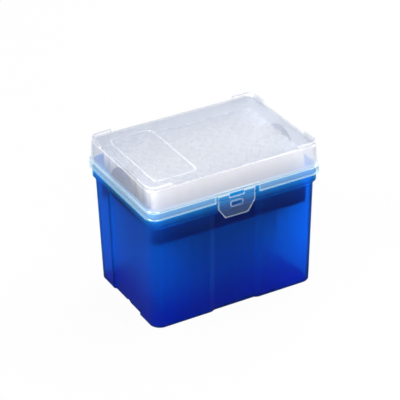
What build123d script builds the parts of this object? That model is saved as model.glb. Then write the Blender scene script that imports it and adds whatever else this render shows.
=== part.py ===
from build123d import *
import os

# A box of 96 pipette tips. Millimetres, +Z up. The origin is the middle of the base's
# bottom face: -Y is the latch side, +Y the hinge side and X runs along the long sides.

# Tips: the standard 12 by 8 array
TIP_PITCH = 9.0
TIP_COLUMNS = 12
TIP_ROWS = 8
TIP_TOP = 94.6
TIP_LENGTH = 84.0
COLLAR_RADIUS = 3.72
NECK_RADIUS = 3.55
KNEE_RADIUS = 2.9
RIB_RADIUS = 4.02
RIB_COUNT = 10
RIB_WIDTH = 0.7
KNEE_HEIGHT = 46.0
RIM_BEAD_HEIGHT = 1.8
SEAT_RADIUS = 3.2
SEAT_LENGTH = 6.0
MOUTH_LEAD_IN = 0.3
TIP_WALL = 0.5
ORIFICE_RADIUS = 0.35
POINT_WALL = 0.3

# Base: a drafted tub with a collar, and a thin rim that stands up inside the lid
WALL = 1.6
BASE_FOOT = (115.6, 77.2)
BASE_SHOULDER = (117.4, 81.5)
BASE_CORNER = 7.5
COLLAR_CORNER = 8.0
FOOT_EDGE = 1.0
COLLAR_START = 73.0
COLLAR_FULL = 75.3
COLLAR_TOP = 80.8
COLLAR = (120.4, 84.6)
RIM = (117.5, 81.8)
RIM_CORNER = 6.5
RIM_TOP = 86.2
RIM_WALL = 1.1
LEDGE = COLLAR_START + WALL

# Shallow vertical recesses in the four sides of the base
SIDE_RECESS_FLOOR, SIDE_RECESS_MOUTH, SIDE_RECESS_DEPTH = 28.8, 36.8, 1.9
END_RECESS_FLOOR, END_RECESS_MOUTH, END_RECESS_DEPTH = 33.6, 37.0, 1.6
RECESS_CORNER = 0.6
RECESS_EXTRA = 1.2
LIFT_NOTCH_RADIUS, LIFT_NOTCH_HEIGHT = 2.8, 1.0

# Rack: a perforated deck with an apron down its long sides, hung from the base by its two grip tabs
DECK_TOP = 70.0
DECK = 2.0
TIP_HOLE_RADIUS = 3.8
APRON = (108.8, 73.0)
APRON_WALL = 1.1
APRON_BOTTOM = 59.4
APRON_CORNER = 4.0
APRON_EDGE = 0.6
APRON_OPENING = 62.0
GRIP_RADIUS = 16.0
GRIP_WALL = 1.2
GRIP_EDGE = 0.4
GRIP_CENTRE = 79.8
GRIP_FACE = 57.3
RISER_FACE = 55.0

# Lid: a drafted cover with a stepped flange round its lower edge
LID_TOP = 100.3
LID_ROOF = (119.5, 82.1)
LID_WAIST = (120.3, 84.7)
LID_CORNER = 6.5
LID_WALL = 1.0
LID_EDGE = 1.5
FLANGE = (122.1, 87.2)
FLANGE_BOTTOM = 81.0
FLANGE_TOP = 86.3
FLANGE_CORNER = 7.0
FLANGE_WALL = 1.15
LIP_HEIGHT = 2.0
LIP_WALL = 1.2
LIP_LEG = 15.5
LIP_INSET = 0.25
PANEL_CENTRE_X = -35.9
PANEL = (30.2, 63.2)
PANEL_CORNER = 5.0
PANEL_RIB = 0.8
PANEL_HEIGHT = 0.15

# Latch: a flap that hangs from the lid by a living hinge and snaps on the base's catch
LATCH_CENTRE, LATCH_GAP_CENTRE = -1.3, -0.4
LATCH_GAP = 30.6
LATCH_TOP = 85.2
LATCH_BOTTOM = 69.0
LATCH_SHOULDER = 76.3
LATCH_TOP_WIDTH = 26.3
LATCH_SHOULDER_WIDTH = 26.0
LATCH_FOOT_WIDTH = 15.9
LATCH_BACK = -42.75
LATCH_THICKNESS = 1.1
LATCH_CORNER = 1.2
LATCH_CHAMFER = 0.3
WINDOW_WIDTH, WINDOW_BOTTOM, WINDOW_HEIGHT = 8.1, 76.2, 3.3
WINDOW_CORNER = 0.6
SLOT_WIDTH, SLOT_BOTTOM = 10.1, 82.9
LEDGE_BOTTOM = 85.6
GROOVE_HEIGHT, GROOVE_DEPTH = 0.6, 0.35
CATCH_WIDTH, CATCH_BOTTOM, CATCH_TOP, CATCH_NOSE = 7.2, 76.5, 79.2, -42.6
CATCH_LIP = 1.0

# Hinge: pins moulded on the base, gripped by open hooks on the lid
HINGE_Y, HINGE_Z = 46.6, 80.4
HINGE_STATIONS = (-33.0, 33.0)
PIN_RADIUS = 1.25
PIN_CLEARANCE = 0.05
HOOK_RADIUS = 2.5
HOOK_WIDTH = 9.0
HOOK_GAP = 0.35
HOOK_MOUTH = 1.9
EAR_RADIUS = 2.4
EAR_WIDTH = 2.2

SINK = 0.5  # how far a moulded-on detail is sunk into the wall that carries it
CLEAR = 100.0  # well outside the box, for cuts that run right through


def plan(size, radius, height):
    """A rounded rectangle, level, at this height."""
    return Plane.XY.offset(height) * RectangleRounded(size[0], size[1], radius)


def drafted(low, high, bottom, top, low_radius, high_radius):
    """A block with rounded corners that goes from one plan at bottom to another at top."""
    return loft([plan(low, low_radius, bottom), plan(high, high_radius, top)], ruled=True)


def shrunk(size, wall):
    return size[0] - 2 * wall, size[1] - 2 * wall


def between(low, high, share):
    return tuple(a + (b - a) * share for a, b in zip(low, high))


def box(x, y, z):
    """A block given by its lowest and highest x, y and z."""
    middle = Location(((x[0] + x[1]) / 2, (y[0] + y[1]) / 2, (z[0] + z[1]) / 2))
    return middle * Box(x[1] - x[0], y[1] - y[0], z[1] - z[0])


def channel(face_low, face_high, floor, mouth, depth, top):
    """The space of a recess in the -Y side, whose face leans from face_low to face_high."""
    slope = (mouth - floor) / 2 / depth
    outside = 4.0

    def section(face, height):
        half_floor, half_open = floor / 2, floor / 2 + slope * (depth + outside)
        back, front = -(face - depth), -(face + outside)
        outline = Polyline(
            (-half_floor, back),
            (half_floor, back),
            (half_open, front),
            (-half_open, front),
            close=True,
        )
        shape = make_face(outline)
        corners = shape.vertices().sort_by(Axis.Y)[-2:]
        return Plane.XY.offset(height) * fillet(corners, RECESS_CORNER)

    return loft([section(face_low, 0.0), section(face_high, top)], ruled=True)


def recesses(inset, widen, top):
    """All four recesses, from below the foot up to top. inset moves them inwards."""
    share = top / COLLAR_START
    head = between(BASE_FOOT, BASE_SHOULDER, share)
    shapes = []
    for turn in (0, 180):
        cut = channel(BASE_FOOT[1] / 2 - inset, head[1] / 2 - inset,
                      SIDE_RECESS_FLOOR + widen, SIDE_RECESS_MOUTH + widen,
                      SIDE_RECESS_DEPTH, top)
        shapes.append(Rotation(0, 0, turn) * cut)
    for turn in (90, 270):
        cut = channel(BASE_FOOT[0] / 2 - inset, head[0] / 2 - inset,
                      END_RECESS_FLOOR + widen, END_RECESS_MOUTH + widen,
                      END_RECESS_DEPTH, top)
        shapes.append(Rotation(0, 0, turn) * cut)
    return shapes


def base_shell():
    """The tub with its recessed sides, collar and rim, open at the top."""
    body = drafted(BASE_FOOT, BASE_SHOULDER, 0, COLLAR_START, BASE_CORNER, BASE_CORNER)
    foot_edges = body.faces().sort_by(Axis.Z)[0].edges()
    body = fillet(foot_edges, FOOT_EDGE)
    body -= recesses(0, 0, COLLAR_START)
    body += drafted(BASE_SHOULDER, COLLAR, COLLAR_START, COLLAR_FULL,
                    BASE_CORNER, COLLAR_CORNER)
    body += drafted(COLLAR, COLLAR, COLLAR_FULL, COLLAR_TOP, COLLAR_CORNER, COLLAR_CORNER)
    body += drafted(RIM, RIM, COLLAR_TOP, RIM_TOP, RIM_CORNER, RIM_CORNER)

    floor_share, ledge_share = WALL / COLLAR_START, LEDGE / COLLAR_START
    well = drafted(shrunk(between(BASE_FOOT, BASE_SHOULDER, floor_share), WALL),
                   shrunk(between(BASE_FOOT, BASE_SHOULDER, ledge_share), WALL),
                   WALL, LEDGE, BASE_CORNER - WALL, BASE_CORNER - WALL)
    well -= recesses(WALL, RECESS_EXTRA, LEDGE)
    mouth_size = shrunk(RIM, RIM_WALL)
    mouth_corner = RIM_CORNER - RIM_WALL
    mouth = drafted(mouth_size, mouth_size, LEDGE, RIM_TOP, mouth_corner, mouth_corner)
    return body - well - mouth


def lift_notches():
    """A small arch in the bottom edge of each end."""
    depth = 1.0
    face = BASE_FOOT[0] / 2 - END_RECESS_DEPTH
    shapes = []
    for side in (-1, 1):
        arch = Rotation(0, 90, 0) * Cylinder(LIFT_NOTCH_RADIUS, 2 * depth)
        below = LIFT_NOTCH_HEIGHT - LIFT_NOTCH_RADIUS
        shapes.append(Location((side * face, 0, below)) * arch)
    return shapes


def latch_catch():
    """The wedge that the latch's window drops over: flat below, sloping above."""
    face = -COLLAR[1] / 2
    outline = Polyline((face + SINK, CATCH_BOTTOM), (CATCH_NOSE, CATCH_BOTTOM),
                       (CATCH_NOSE, CATCH_BOTTOM + CATCH_LIP), (face, CATCH_TOP),
                       (face + SINK, CATCH_TOP), close=True)
    wedge = extrude(Plane.YZ * make_face(outline), CATCH_WIDTH / 2, both=True)
    return Location((LATCH_CENTRE, 0, 0)) * wedge


def hinge_ear(x):
    """A lug that stands out behind the collar and holds one end of a hinge pin."""
    root = COLLAR[1] / 2 - SINK
    web = make_face(Polyline((root, HINGE_Z - 4.8), (HINGE_Y + 0.9, HINGE_Z - 2.2),
                             (HINGE_Y, HINGE_Z + 0.4), (root, HINGE_Z + 0.4), close=True))
    lug = Location((HINGE_Y, HINGE_Z)) * Circle(EAR_RADIUS)
    ear = extrude(Plane.YZ * (web + lug), EAR_WIDTH / 2, both=True)
    return Location((x, 0, 0)) * ear


def hinge_pin(x):
    length = HOOK_WIDTH + 2 * HOOK_GAP + 2 * EAR_WIDTH
    return Location((x, HINGE_Y, HINGE_Z)) * Rotation(0, 90, 0) * Cylinder(PIN_RADIUS, length)


def base_box():
    shape = base_shell() - lift_notches() + latch_catch()
    reach = (HOOK_WIDTH + EAR_WIDTH) / 2 + HOOK_GAP
    for x in HINGE_STATIONS:
        shape += [hinge_ear(x - reach), hinge_ear(x + reach), hinge_pin(x)]
    return shape


def tip_places(column):
    """The eight tip axes of one column, which run from the hinge side to the latch side."""
    x = (column - (TIP_COLUMNS - 1) / 2) * TIP_PITCH
    first = (TIP_ROWS - 1) / 2 * TIP_PITCH
    return [(x, first - row * TIP_PITCH) for row in range(TIP_ROWS)]


def grip_tab(side):
    """A riser from the deck's end, a shoulder that rests on the base's ledge and a half-moon."""
    width = (-GRIP_RADIUS, GRIP_RADIUS)
    riser = box((RISER_FACE - GRIP_WALL, RISER_FACE), width, (DECK_TOP - DECK, LEDGE + GRIP_WALL))
    shoulder = box((RISER_FACE - GRIP_WALL, GRIP_FACE), width, (LEDGE, LEDGE + GRIP_WALL))
    upright = Rectangle(2 * GRIP_RADIUS, GRIP_CENTRE - LEDGE, align=(Align.CENTER, Align.MAX))
    moon = Location((0, GRIP_CENTRE)) * (Circle(GRIP_RADIUS) + upright)
    moon -= Location((0, LEDGE)) * Rectangle(CLEAR, CLEAR, align=(Align.CENTER, Align.MAX))
    tab = Location((GRIP_FACE - GRIP_WALL, 0, 0)) * extrude(Plane.YZ * moon, GRIP_WALL)
    tab = fillet(tab.edges().filter_by(GeomType.CIRCLE), GRIP_EDGE)
    whole = riser + shoulder + tab
    return whole if side > 0 else Rotation(0, 0, 180) * whole


def rack():
    """Deck, apron and grip tabs, moulded in one."""
    shape = drafted(APRON, APRON, APRON_BOTTOM, DECK_TOP, APRON_CORNER, APRON_CORNER)
    shape = fillet(shape.faces().sort_by(Axis.Z)[-1].edges(), APRON_EDGE)
    inside = shrunk(APRON, APRON_WALL)
    radius = APRON_CORNER - APRON_WALL
    shape -= drafted(inside, inside, APRON_BOTTOM, DECK_TOP - DECK, radius, radius)
    opening = (-APRON_OPENING / 2, APRON_OPENING / 2)
    shape -= box((-CLEAR, CLEAR), opening, (0, DECK_TOP - DECK))
    shape += [grip_tab(-1), grip_tab(1)]
    places = [place for column in range(TIP_COLUMNS) for place in tip_places(column)]
    hole = Cylinder(TIP_HOLE_RADIUS, 3 * DECK)
    return shape - [Location((x, y, DECK_TOP)) * hole for x, y in places]


def pipette_tip():
    """One tip, standing on the Z axis at its true height."""
    bottom = TIP_TOP - TIP_LENGTH
    neck = DECK_TOP
    bead = TIP_TOP - RIM_BEAD_HEIGHT
    seat_top = TIP_TOP - MOUTH_LEAD_IN
    seat_end = seat_top - SEAT_LENGTH
    outline = Polyline(
        (ORIFICE_RADIUS, bottom), (ORIFICE_RADIUS + POINT_WALL, bottom),
        (KNEE_RADIUS, KNEE_HEIGHT), (NECK_RADIUS, neck),
        (COLLAR_RADIUS, bead), (RIB_RADIUS, bead + 0.2), (RIB_RADIUS, TIP_TOP - 0.15),
        (RIB_RADIUS - 0.15, TIP_TOP), (SEAT_RADIUS + MOUTH_LEAD_IN, TIP_TOP),
        (SEAT_RADIUS, seat_top), (SEAT_RADIUS, seat_end), (KNEE_RADIUS - TIP_WALL, KNEE_HEIGHT),
        close=True,
    )
    shape = revolve(Plane.XZ * make_face(outline), Axis.Z)
    rib = box((SEAT_RADIUS + 0.2, RIB_RADIUS), (-RIB_WIDTH / 2, RIB_WIDTH / 2), (neck, bead + 0.1))
    return shape + [Rotation(0, 0, turn * 360 / RIB_COUNT) * rib for turn in range(RIB_COUNT)]


def tips_column(tip, column):
    return Compound(children=[Location((x, y, 0)) * tip for x, y in tip_places(column)])


def lid_shell():
    """The cover and its flange, open below."""
    cover = drafted(LID_WAIST, LID_ROOF, FLANGE_TOP - SINK, LID_TOP, LID_CORNER, LID_CORNER)
    cover = fillet(cover.faces().sort_by(Axis.Z)[-1].edges(), LID_EDGE)
    shell = cover + drafted(FLANGE, FLANGE, FLANGE_BOTTOM, FLANGE_TOP,
                            FLANGE_CORNER, FLANGE_CORNER)
    step = FLANGE_TOP - FLANGE_WALL
    inner_radius = LID_CORNER - LID_WALL
    room = drafted(shrunk(LID_WAIST, LID_WALL), shrunk(LID_ROOF, LID_WALL),
                   step, LID_TOP - LID_WALL, inner_radius, inner_radius)
    room = fillet(room.faces().sort_by(Axis.Z)[-1].edges(), LID_EDGE - LID_WALL + 0.2)
    under = shrunk(FLANGE, FLANGE_WALL)
    radius = FLANGE_CORNER - FLANGE_WALL
    return shell - room - drafted(under, under, FLANGE_BOTTOM, step, radius, radius)


def stacking_lips():
    """An L-shaped lip on each corner of the roof, which keeps a box stacked on top in place."""
    outer = shrunk(LID_ROOF, LIP_INSET)
    inner = shrunk(outer, LIP_WALL)
    bottom, top = LID_TOP - LID_WALL, LID_TOP + LIP_HEIGHT
    ring = drafted(outer, outer, bottom, top, LID_CORNER, LID_CORNER)
    ring -= drafted(inner, inner, bottom, top, LID_CORNER - LIP_WALL, LID_CORNER - LIP_WALL)
    along_x = outer[0] / 2 - LIP_LEG
    along_y = outer[1] / 2 - LIP_LEG
    ring -= box((-along_x, along_x), (-CLEAR, CLEAR), (bottom, top))
    return ring - box((-CLEAR, CLEAR), (-along_y, along_y), (bottom, top))


def panel_outline():
    """A low rib that frames a writing panel on the roof."""
    outer = plan(PANEL, PANEL_CORNER, LID_TOP - SINK)
    inner = plan(shrunk(PANEL, PANEL_RIB), PANEL_CORNER - PANEL_RIB, LID_TOP - SINK)
    rib = extrude(outer - inner, PANEL_HEIGHT + SINK)
    return Location((PANEL_CENTRE_X, 0, 0)) * rib


def hinge_hook(x):
    """A hook under the flange's back edge that grips a pin and is open behind and below."""
    root = FLANGE[1] / 2 - SINK
    arm = make_face(Polyline((root, FLANGE_TOP - SINK), (root, FLANGE_BOTTOM + 0.6),
                             (HINGE_Y - 1.6, HINGE_Z + 1.4), (HINGE_Y + 1.0, HINGE_Z + 2.2),
                             (HINGE_Y - 0.2, FLANGE_TOP - 1.2), close=True))
    ring = Location((HINGE_Y, HINGE_Z)) * Circle(HOOK_RADIUS)
    bore = Location((HINGE_Y, HINGE_Z)) * Circle(PIN_RADIUS + PIN_CLEARANCE)
    slot = Location((HINGE_Y, HINGE_Z), -45) * (Pos(HOOK_RADIUS, 0) * Rectangle(
        2 * HOOK_RADIUS, HOOK_MOUTH))
    profile = arm + ring - bore - slot
    hook = extrude(Plane.YZ * profile, HOOK_WIDTH / 2, both=True)
    return Location((x, 0, 0)) * hook


def lid():
    shell = lid_shell()
    opening = (LATCH_GAP_CENTRE - LATCH_GAP / 2, LATCH_GAP_CENTRE + LATCH_GAP / 2)
    wall_front = -LID_WAIST[1] / 2
    shell -= box(opening, (-CLEAR, wall_front + LID_WALL + SINK), (0, LEDGE_BOTTOM))
    groove = (FLANGE_TOP, FLANGE_TOP + GROOVE_HEIGHT)
    shell -= box(opening, (-CLEAR, wall_front + GROOVE_DEPTH), groove)
    shell += stacking_lips()
    shell += panel_outline()
    for x in HINGE_STATIONS:
        shell += hinge_hook(x)
    return shell


def front_latch():
    """The flap with its window for the catch and the slot that halves its living hinge."""
    half_top, half_shoulder = LATCH_TOP_WIDTH / 2, LATCH_SHOULDER_WIDTH / 2
    half_foot = LATCH_FOOT_WIDTH / 2
    outline = make_face(Polyline(
        (-half_top, LATCH_TOP), (-half_shoulder, LATCH_SHOULDER), (-half_foot, LATCH_BOTTOM),
        (half_foot, LATCH_BOTTOM), (half_shoulder, LATCH_SHOULDER), (half_top, LATCH_TOP),
        close=True,
    ))
    lower = outline.vertices().sort_by(Axis.Y)[:4]
    outline = fillet(lower, LATCH_CORNER)
    middle = WINDOW_BOTTOM + WINDOW_HEIGHT / 2
    outline -= Location((0, middle)) * RectangleRounded(WINDOW_WIDTH, WINDOW_HEIGHT, WINDOW_CORNER)
    slot_height = 2 * (LATCH_TOP - SLOT_BOTTOM)
    outline -= Location((0, LATCH_TOP)) * RectangleRounded(SLOT_WIDTH, slot_height, WINDOW_CORNER)
    plate = extrude(Plane.XZ * outline, LATCH_THICKNESS)
    plate = Location((LATCH_CENTRE, LATCH_BACK, 0)) * plate
    edges = plate.faces().sort_by(Axis.Y)[0].outer_wire().edges()
    return chamfer(edges, LATCH_CHAMFER)


def main():
    os.makedirs("parts", exist_ok=True)
    tip = pipette_tip()
    pieces = {"base_box": base_box(), "rack": rack(), "lid": lid(), "front_latch": front_latch()}
    for column in range(TIP_COLUMNS):
        pieces[f"tips_column_{column + 1:02d}"] = tips_column(tip, column)
    for name, shape in pieces.items():
        export_step(shape, f"parts/{name}.step")


main()
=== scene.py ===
from math import radians

import bpy
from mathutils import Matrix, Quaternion, Vector


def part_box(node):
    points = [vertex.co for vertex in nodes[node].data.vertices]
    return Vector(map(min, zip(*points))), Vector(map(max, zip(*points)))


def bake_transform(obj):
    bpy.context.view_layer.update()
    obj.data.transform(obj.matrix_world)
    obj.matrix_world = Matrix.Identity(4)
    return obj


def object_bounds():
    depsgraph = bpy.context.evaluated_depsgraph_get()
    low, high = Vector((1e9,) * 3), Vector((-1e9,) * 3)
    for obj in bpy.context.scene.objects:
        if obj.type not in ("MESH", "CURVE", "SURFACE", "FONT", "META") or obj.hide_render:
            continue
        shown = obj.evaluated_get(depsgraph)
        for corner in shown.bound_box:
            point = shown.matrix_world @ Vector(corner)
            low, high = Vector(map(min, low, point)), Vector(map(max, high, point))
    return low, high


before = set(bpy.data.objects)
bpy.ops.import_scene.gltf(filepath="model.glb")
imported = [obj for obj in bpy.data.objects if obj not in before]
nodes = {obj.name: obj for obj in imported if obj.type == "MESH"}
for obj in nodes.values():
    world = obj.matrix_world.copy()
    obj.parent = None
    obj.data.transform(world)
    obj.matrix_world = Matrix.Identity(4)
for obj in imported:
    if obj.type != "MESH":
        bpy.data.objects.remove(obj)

cad_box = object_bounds()
bpy.ops.object.select_all(action="DESELECT")

# Base box
# A deep tub with a collar and shallow recesses, injection moulded in one from polypropylene
# that is dyed a clear strong blue. Its satin walls let light through and blur what is inside.


class Wire:
    """A shader socket to do sums with: every sum adds its own Math node."""

    def __init__(self, finish, socket):
        self.finish = finish
        self.socket = socket

    def __add__(self, other):
        return self.finish.sum("ADD", self, other)

    def __radd__(self, other):
        return self.finish.sum("ADD", other, self)

    def __mul__(self, other):
        return self.finish.sum("MULTIPLY", self, other)

    def __rmul__(self, other):
        return self.finish.sum("MULTIPLY", other, self)

    def __rsub__(self, other):
        return self.finish.sum("SUBTRACT", other, self)


class Finish:
    """The node tree of one material or of the world, built up node by node."""

    def __init__(self, owner):
        owner.use_nodes = True
        self.owner = owner
        self.tree = owner.node_tree
        self.tree.nodes.clear()

    def add(self, kind, settings=None, sockets=None, out=0):
        """Adds a node, sets it up and then its sockets, and gives one of its outputs."""
        node = self.tree.nodes.new(kind)
        for name, value in (settings or {}).items():
            setattr(node, name, value)
        for name, value in (sockets or {}).items():
            if isinstance(value, Wire):
                self.tree.links.new(value.socket, node.inputs[name])
            else:
                node.inputs[name].default_value = value
        return None if out is None else Wire(self, node.outputs[out])

    def sum(self, operation, first, second):
        return self.add("ShaderNodeMath", {"operation": operation}, {0: first, 1: second})


def satin(finish, low, high, grain, depth):
    """The uneven gloss and fine grain that a mould leaves, as a roughness and a normal."""
    where = finish.add("ShaderNodeTexCoord", out="Object")
    cloud = finish.add("ShaderNodeTexNoise", None, {"Vector": where, "Scale": 45.0, "Detail": 3.0})
    fine = finish.add("ShaderNodeTexNoise", None,
                      {"Vector": where, "Scale": 1 / grain, "Detail": 2.0})
    normal = finish.add("ShaderNodeBump", None,
                        {"Height": fine, "Strength": 0.4, "Distance": depth})
    return low + (high - low) * cloud, normal


def height_above_floor(finish):
    place = finish.add("ShaderNodeTexCoord", out="Object")
    return finish.add("ShaderNodeSeparateXYZ", None, {0: place}, out="Z")


def fade(finish, start, end):
    """Goes smoothly from nothing at the height start to 1 at the height end."""
    return finish.add("ShaderNodeMapRange", {"interpolation_type": "SMOOTHSTEP"},
                      {"Value": height_above_floor(finish), "From Min": start, "From Max": end})


def slanting(finish):
    """Nothing where the surface is met square on, and 1 where it is only grazed."""
    return finish.add("ShaderNodeLayerWeight", None, {"Blend": 0.5}, out="Facing")


def mirrored(finish, body, share, gloss, skin, glare=(1.0, 1.0, 1.0)):
    """Lets a share of the light mirror off the body's face."""
    mirror = finish.add("ShaderNodeBsdfAnisotropic", None,
                        {"Color": (*glare, 1.0), "Roughness": gloss, "Normal": skin})
    return finish.add("ShaderNodeMixShader", None, {0: share, 1: body, 2: mirror})


def coat(node, finish):
    """Gives a moulding as packed its finish."""
    nodes[node].data.materials.clear()
    nodes[node].data.materials.append(finish.owner)


# The deeper blue here is painted shade for the tub's foot.
tub_clear, tub_foot_shade = (0.12, 0.61, 0.95, 1.0), (0.10, 0.51, 0.91, 1.0)
# The bright face blue here is a painted glow for the collar.
tub_glow, collar_painted_glow = (0.12, 0.48, 0.97, 1.0), (0.01, 0.60, 1.0, 1.0)
tub_index, tub_cloud, tub_gloss = 1.15, 0.24, 0.35
collar_start, collar_end, collar_painted_glow_share = 0.075, 0.086, 0.35
foot_start, foot_end, foot_shade_share = 0.032, 0.0, 0.76

base_blue = Finish(bpy.data.materials.new("base_blue"))
roughness, normal = satin(base_blue, low=0.34, high=0.42, grain=0.0006, depth=0.00002)
through, shaded_through = (
    base_blue.add("ShaderNodeBsdfRefraction", None,
                  {"Color": colour, "Roughness": roughness, "IOR": tub_index, "Normal": normal})
    for colour in (tub_clear, tub_foot_shade))
scatter = base_blue.add("ShaderNodeBsdfTranslucent", None, {"Color": tub_glow})
near = base_blue.add("ShaderNodeBsdfDiffuse", None, {"Color": collar_painted_glow})
wall = base_blue.add("ShaderNodeMixShader", None, {0: tub_cloud, 1: through, 2: scatter})
# Painted shade: towards the foot the walls pass a darker blue, standing in for the shade low on the
# tub.
foot = foot_shade_share * fade(base_blue, foot_start, foot_end)
wall = base_blue.add("ShaderNodeMixShader", None, {0: foot, 1: wall, 2: shaded_through})
# Painted light: a brighter blue diffuse face at the collar, standing in for light that comes down
# the wall from the rim.
collar = collar_painted_glow_share * fade(base_blue, collar_start, collar_end)
wall = base_blue.add("ShaderNodeMixShader", None, {0: collar, 1: wall, 2: near})
steep = base_blue.sum("POWER", slanting(base_blue), 3.0)
face = mirrored(base_blue, wall, 0.008 + 0.03 * steep, tub_gloss, normal)
base_blue.add("ShaderNodeOutputMaterial", None, {"Surface": face}, out=None)
coat("base_box", base_blue)

# Rack
# The lift-out deck that holds the tips, moulded in one from a dense blue. Its deck and aprons are
# painted a darker blue than the tub as the shade inside it, and its grip tabs a lighter blue as the
# light at the top. Its grip tabs' shoulders rest on the tub's ledge, and an apron hangs down each
# long side.
# Painted shade and light: the deck's colours are darkened as the shade inside the tub, and the
# tab's lightened as the light at the top.
deck_shaded_face, deck_shaded_glow, deck_share = (0.01, 0.01, 0.12, 1.0), (0.02, 0.04, 0.30, 1.0), 0.45
tab_lit_face, tab_lit_glow, tab_share = (0.04, 0.10, 0.24, 1.0), (0.16, 0.34, 0.58, 1.0), 0.55
tab_start, tab_end = 0.071, 0.084

rack_blue = Finish(bpy.data.materials.new("rack_blue"))
roughness, normal = satin(rack_blue, low=0.40, high=0.50, grain=0.0006, depth=0.00002)


def painted_light_copy(face_colour, glow_colour, glow_share):
    """A copy of the rack's blue with its own painted lightness, of which a share of the light
    shines through.
    """
    near = rack_blue.add("ShaderNodeBsdfDiffuse", None, {"Color": face_colour, "Normal": normal})
    through = rack_blue.add("ShaderNodeBsdfTranslucent", None, {"Color": glow_colour})
    return rack_blue.add("ShaderNodeMixShader", None, {0: glow_share, 1: near, 2: through})


shaded_deck = painted_light_copy(deck_shaded_face, deck_shaded_glow, deck_share)
lit_tab = painted_light_copy(tab_lit_face, tab_lit_glow, tab_share)
# Above tab_start the painted light of the tabs takes over from the painted shade of the deck.
lit_tab_mask = fade(rack_blue, tab_start, tab_end)
body = rack_blue.add("ShaderNodeMixShader", None, {0: lit_tab_mask, 1: shaded_deck, 2: lit_tab})
steep = rack_blue.sum("POWER", slanting(rack_blue), 5.0)
face = mirrored(rack_blue, body, 0.01 + 0.1 * steep, roughness, normal)
rack_blue.add("ShaderNodeOutputMaterial", None, {"Surface": face}, out=None)
coat("rack", rack_blue)

# Tips
# Ninety-six large tips in twelve columns of eight, each a thin cone of natural polypropylene.
# They hang by their collars in the rack's holes, and are milky but let light through.
mouth_start, mouth_end = 0.045, 0.075


def milky(finish, gloss, skin, colour, solid, forward, sheen, tint=(1.0, 1.0, 1.0), dense=0.0,
          shine=0.0, glare=(1.0, 1.0, 1.0)):
    """Thin clouded plastic: a share solid of the light is caught, and a share forward of that
    goes on through. The rest passes straight, tinted where the wall is slanting and dense, which is
    partly the longer path and partly painted shade. The face mirrors a share sheen of the light,
    more where it is grazed, and a share shine of painted highlight on top."""
    near = finish.add("ShaderNodeBsdfDiffuse", None, {"Color": (*colour, 1.0), "Normal": skin})
    through = finish.add("ShaderNodeBsdfTranslucent", None, {"Color": (*colour, 1.0)})
    cloud = finish.add("ShaderNodeMixShader", None, {0: forward, 1: near, 2: through})
    slant = slanting(finish)
    clear = finish.add("ShaderNodeBsdfTransparent", None, {"Color": (1.0, 1.0, 1.0, 1.0)})
    dim = finish.add("ShaderNodeBsdfTransparent", None, {"Color": (*tint, 1.0)})
    straight = finish.add("ShaderNodeMixShader", None, {0: dense * slant * slant, 1: clear, 2: dim})
    body = finish.add("ShaderNodeMixShader", None, {0: solid, 1: straight, 2: cloud})
    steep = finish.sum("POWER", slant, 5.0)
    share = finish.add("ShaderNodeClamp", None, {0: sheen + (1.0 - sheen) * steep + shine})
    return mirrored(finish, body, share, gloss, skin, glare)


tip_natural = Finish(bpy.data.materials.new("tip_natural"))
mouth = fade(tip_natural, mouth_start, mouth_end)
roughness, normal = satin(tip_natural, low=0.25, high=0.35, grain=0.0004, depth=0.00001)
face = milky(tip_natural, roughness, normal, colour=(0.90, 0.89, 0.89),
             solid=0.15 + 0.56 * mouth, forward=0.85, sheen=0.03)
tip_natural.add("ShaderNodeOutputMaterial", None, {"Surface": face}, out=None)
for node in nodes:
    if node.startswith("tips_column"):
        coat(node, tip_natural)

# Lid
# A clear cover, injection moulded in one with its flange, hinge hooks and stacking lips. Its
# faces have a fine frosted grain, and its edges and upper rounded corners carry a painted
# highlight.
flange_top, wall_start, wall_clears = 0.0860, 0.0866, 0.0882

lid_frosted = Finish(bpy.data.materials.new("lid_frosted"))


def turned(finish, way):
    """How far the moulding's own face turns to the way X, Y or Z."""
    facing = finish.add("ShaderNodeTexCoord", out="Normal")
    return finish.add("ShaderNodeSeparateXYZ", None, {0: facing}, out=way)


def painted_edge_glint(finish, reach, strength):
    """How strong a painted highlight lies along edges and upper rounded corners. A level face
    above roof_foot is the roof, whose edges get less of it. The reach is how wide the painted line
    is."""
    roof_foot, nearly_level, edge_gain, roof_loss, fillet_gain = 0.095, 0.95, 12.0, 0.75, 0.25
    flat = finish.add("ShaderNodeNewGeometry", out="Normal")
    round_over = finish.add("ShaderNodeBevel", {"samples": 6}, {"Radius": reach})
    alike = finish.add("ShaderNodeVectorMath", {"operation": "DOT_PRODUCT"},
                       {0: flat, 1: round_over}, out="Value")
    edge = finish.add("ShaderNodeClamp", None, {0: (1.0 - alike) * edge_gain})
    up = turned(finish, "Z")
    high_up = finish.sum("GREATER_THAN", height_above_floor(finish), roof_foot)
    level = finish.sum("GREATER_THAN", up, nearly_level) * high_up
    slope = up * up * (1.0 - up * up) * 4.0
    fillet = finish.sum("POWER", slope, 3.0)
    return strength * edge * (1.0 - roof_loss * level) + fillet_gain * fillet


# Painted highlight: a white line painted along the lid's edges and upper rounded corners.
painted_edge_light = painted_edge_glint(lid_frosted, reach=0.0007, strength=0.95)
cover = fade(lid_frosted, flange_top, wall_start)
foot = fade(lid_frosted, wall_clears, wall_start)
up, along = turned(lid_frosted, "Z"), turned(lid_frosted, "Y")
roof, painted_front_veil = up * up, along * along
# Painted light: extra white haze on the roof and on the front and back walls is a painted veil of
# reflected light, and the painted edge line is added in; the rest is the lid's own frosting.
haze_and_painted_light = 0.08 + 0.05 * roof + 0.24 * painted_front_veil + 0.15 * foot + 0.5 * painted_edge_light
roughness, normal = satin(lid_frosted, low=0.09, high=0.14, grain=0.0008, depth=0.000004)
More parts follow.
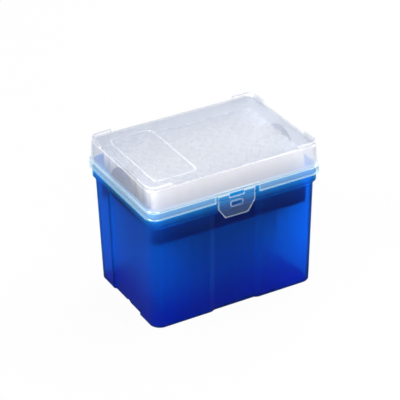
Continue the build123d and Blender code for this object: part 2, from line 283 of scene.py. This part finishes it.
# Painted shade: the blue-grey tint where the lid is slanting, stronger on the roof, is partly the
# longer path through the plastic and partly painted shade of the blue tub and dim surroundings.
wall = milky(lid_frosted, roughness, normal, colour=(0.95, 0.94, 0.96), solid=haze_and_painted_light, forward=0.4,
             sheen=0.03, tint=(0.30, 0.38, 0.52), dense=0.9 + 0.6 * roof, shine=painted_edge_light)
# Painted light: the ledge's haze is tinted blue and its mirror cyan, for the blue light of the tub
# it sits on; it is the same clear plastic as the walls.
ledge = milky(lid_frosted, roughness, normal, colour=(0.70, 0.92, 1.0),
              solid=0.12 + 0.6 * painted_edge_light, forward=0.4, sheen=0.03, tint=(0.35, 0.40, 0.50),
              dense=0.9, shine=painted_edge_light, glare=(0.75, 0.97, 1.0))
face = lid_frosted.add("ShaderNodeMixShader", None, {0: cover, 1: ledge, 2: wall})
lid_frosted.add("ShaderNodeOutputMaterial", None, {"Surface": face}, out=None)
coat("lid", lid_frosted)

# Latch
# A clear flap moulded with the lid. It hangs from the ledge by a living hinge, and its window
# snaps over the catch on the tub's collar.
latch_clear = Finish(bpy.data.materials.new("latch_clear"))
painted_edge_light = painted_edge_glint(latch_clear, reach=0.0005, strength=0.9)
roughness, normal = satin(latch_clear, low=0.12, high=0.18, grain=0.0008, depth=0.000004)
# Painted light: the flap's haze is tinted blue for the tub's light behind it, and its edges carry
# the painted highlight line.
face = milky(latch_clear, roughness, normal, colour=(0.45, 0.80, 1.0),
             solid=0.03 + 0.6 * painted_edge_light, forward=0.3, sheen=0.004, shine=0.7 * painted_edge_light)
latch_clear.add("ShaderNodeOutputMaterial", None, {"Surface": face}, out=None)
coat("front_latch", latch_clear)

# Living hinge
# Two short webs of the same plastic, one each side of the slot, that join the flap to the
# ledge. They are pinched thin in the middle, where they fold each time the latch is worked.
web_thickness, web_waist, web_setback = 0.00030, 0.00016, 0.00030
web_rise, web_drop = 0.00045, 0.00005
slot_half, web_end, web_root = 0.00505, 0.0003, 0.0001

latch_low, latch_high = (Vector(corner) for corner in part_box("front_latch"))
hinge_front = latch_low.y + web_setback
web_top, web_foot = latch_high.z + web_rise, latch_high.z - web_drop
web_middle = (web_top + web_foot) / 2
latch_middle = (latch_low.x + latch_high.x) / 2

for side, name in ((-1, "hinge_web_left"), (1, "hinge_web_right")):
    inner = latch_middle + side * slot_half
    outer = latch_middle + side * ((latch_high.x - latch_low.x) / 2 - web_end)
    centre = Vector(((inner + outer) / 2, hinge_front + web_thickness / 2, web_middle))
    bpy.ops.mesh.primitive_cube_add(size=1.0, location=centre,
                                    scale=(abs(outer - inner), web_thickness, web_top - web_foot))
    web = bpy.context.object
    web.name = name
    bpy.ops.object.transform_apply(location=True, rotation=True, scale=True)
    bpy.ops.object.mode_set(mode="EDIT")
    for share, pinch in ((0.25, 0.75), (0.5, web_waist / web_thickness), (0.75, 0.75)):
        level = web_foot + share * (web_top - web_foot)
        bpy.ops.mesh.select_all(action="SELECT")
        bpy.ops.mesh.bisect(plane_co=(0.0, 0.0, level), plane_no=(0.0, 0.0, 1.0))
        bpy.ops.transform.resize(value=(1.0, pinch, 1.0), center_override=centre)
    bpy.ops.object.mode_set(mode="OBJECT")
    web.data.materials.append(latch_clear.owner)
    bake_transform(web)
    bpy.ops.object.select_all(action="DESELECT")

# Studio
# A plain pale floor of matt paper in a white room. Four square softboxes stand round the box,
# and a small lamp behind it on the right lights its roof.
floor_size, floor_drop, paper_grey = 6.0, 0.0002, (0.58, 0.58, 0.58, 1.0)
white = (1.0, 1.0, 1.0, 1.0)

bpy.ops.mesh.primitive_plane_add(size=floor_size, location=(0, 0, -floor_drop))
floor = bpy.context.object
floor.name = "floor"
paper = Finish(bpy.data.materials.new("floor_paper"))
camera_ray, mirror_ray, glass_ray, panes = (
    paper.add("ShaderNodeLightPath", out=name) for name in
    ("Is Camera Ray", "Is Glossy Ray", "Is Transmission Ray", "Transparent Depth"))
bare = 1.0 - paper.sum("MINIMUM", panes, 1.0)
seen = (camera_ray + mirror_ray * (1.0 - glass_ray)) * bare
matte = paper.add("ShaderNodeBsdfDiffuse", None, {"Color": paper_grey})
glow = paper.add("ShaderNodeEmission", None, {"Color": white, "Strength": 1.0})
both = paper.add("ShaderNodeMixShader", None, {0: 0.95 * seen, 1: matte, 2: glow})
paper.add("ShaderNodeOutputMaterial", None, {"Surface": both}, out=None)
floor.data.materials.append(paper.owner)

world = bpy.data.worlds.new("studio")
bpy.context.scene.world = world
air = Finish(world)
camera_ray, mirror_ray, glass_ray = (
    air.add("ShaderNodeLightPath", out=name) for name in
    ("Is Camera Ray", "Is Glossy Ray", "Is Transmission Ray"))
straight = air.sum("MAXIMUM", air.sum("MAXIMUM", camera_ray, mirror_ray), glass_ray)
backdrop = air.add("ShaderNodeBackground", None,
                   {"Color": white, "Strength": 0.65 + 0.35 * straight})
air.add("ShaderNodeOutputWorld", None, {"Surface": backdrop}, out=None)

low, high = cad_box
middle = (Vector(low) + Vector(high)) / 2
softboxes = (
    # name, azimuth and elevation in degrees, distance and size in metres, power in watts
    ("softbox_front", -10, 25, 0.9, 0.7, 3.2),
    ("softbox_left", -85, 20, 0.9, 0.6, 8.5),
    ("softbox_right", 80, 12, 0.9, 0.6, 4.0),
    ("softbox_back", 110, 45, 1.0, 0.85, 8.5))
for name, azimuth, elevation, distance, size, power in softboxes:
    turn = Quaternion((0, 0, 1), radians(azimuth)) @ Quaternion((1, 0, 0), radians(90 - elevation))
    bpy.ops.object.light_add(type="AREA", location=middle + turn @ Vector((0, 0, distance)))
    lamp = bpy.context.object
    lamp.name = name
    lamp.rotation_mode = "QUATERNION"
    lamp.rotation_quaternion = turn
    lamp.data.size = size
    lamp.data.energy = power

strip_place, strip_width, strip_depth, strip_power = (0.404, 0.712, 0.552), 0.220, 0.130, 0.36
bpy.ops.object.light_add(type="AREA", location=strip_place)
lamp = bpy.context.object
lamp.name = "strip_over_roof"
lamp.data.shape = "RECTANGLE"
lamp.data.size = strip_width
lamp.data.size_y = strip_depth
lamp.data.energy = strip_power

bpy.ops.object.camera_add()
camera = bpy.context.object
azimuth, elevation, roll = radians(-28.70), radians(30.06), radians(-1.14)
aim, distance = Vector((0.00960, 0.02324, 0.04319)), 1.14788
turn = (Quaternion((0, 0, 1), azimuth) @ Quaternion((1, 0, 0), radians(90) - elevation)
        @ Quaternion((0, 0, 1), roll))
camera.rotation_mode = "QUATERNION"
camera.rotation_quaternion = turn
camera.location = aim + turn @ Vector((0, 0, distance))
camera.data.sensor_width = 36.0
camera.data.lens = 158.69
camera.data.clip_end = 20.0
bpy.context.scene.camera = camera
bpy.context.scene.view_settings.view_transform = "Standard"
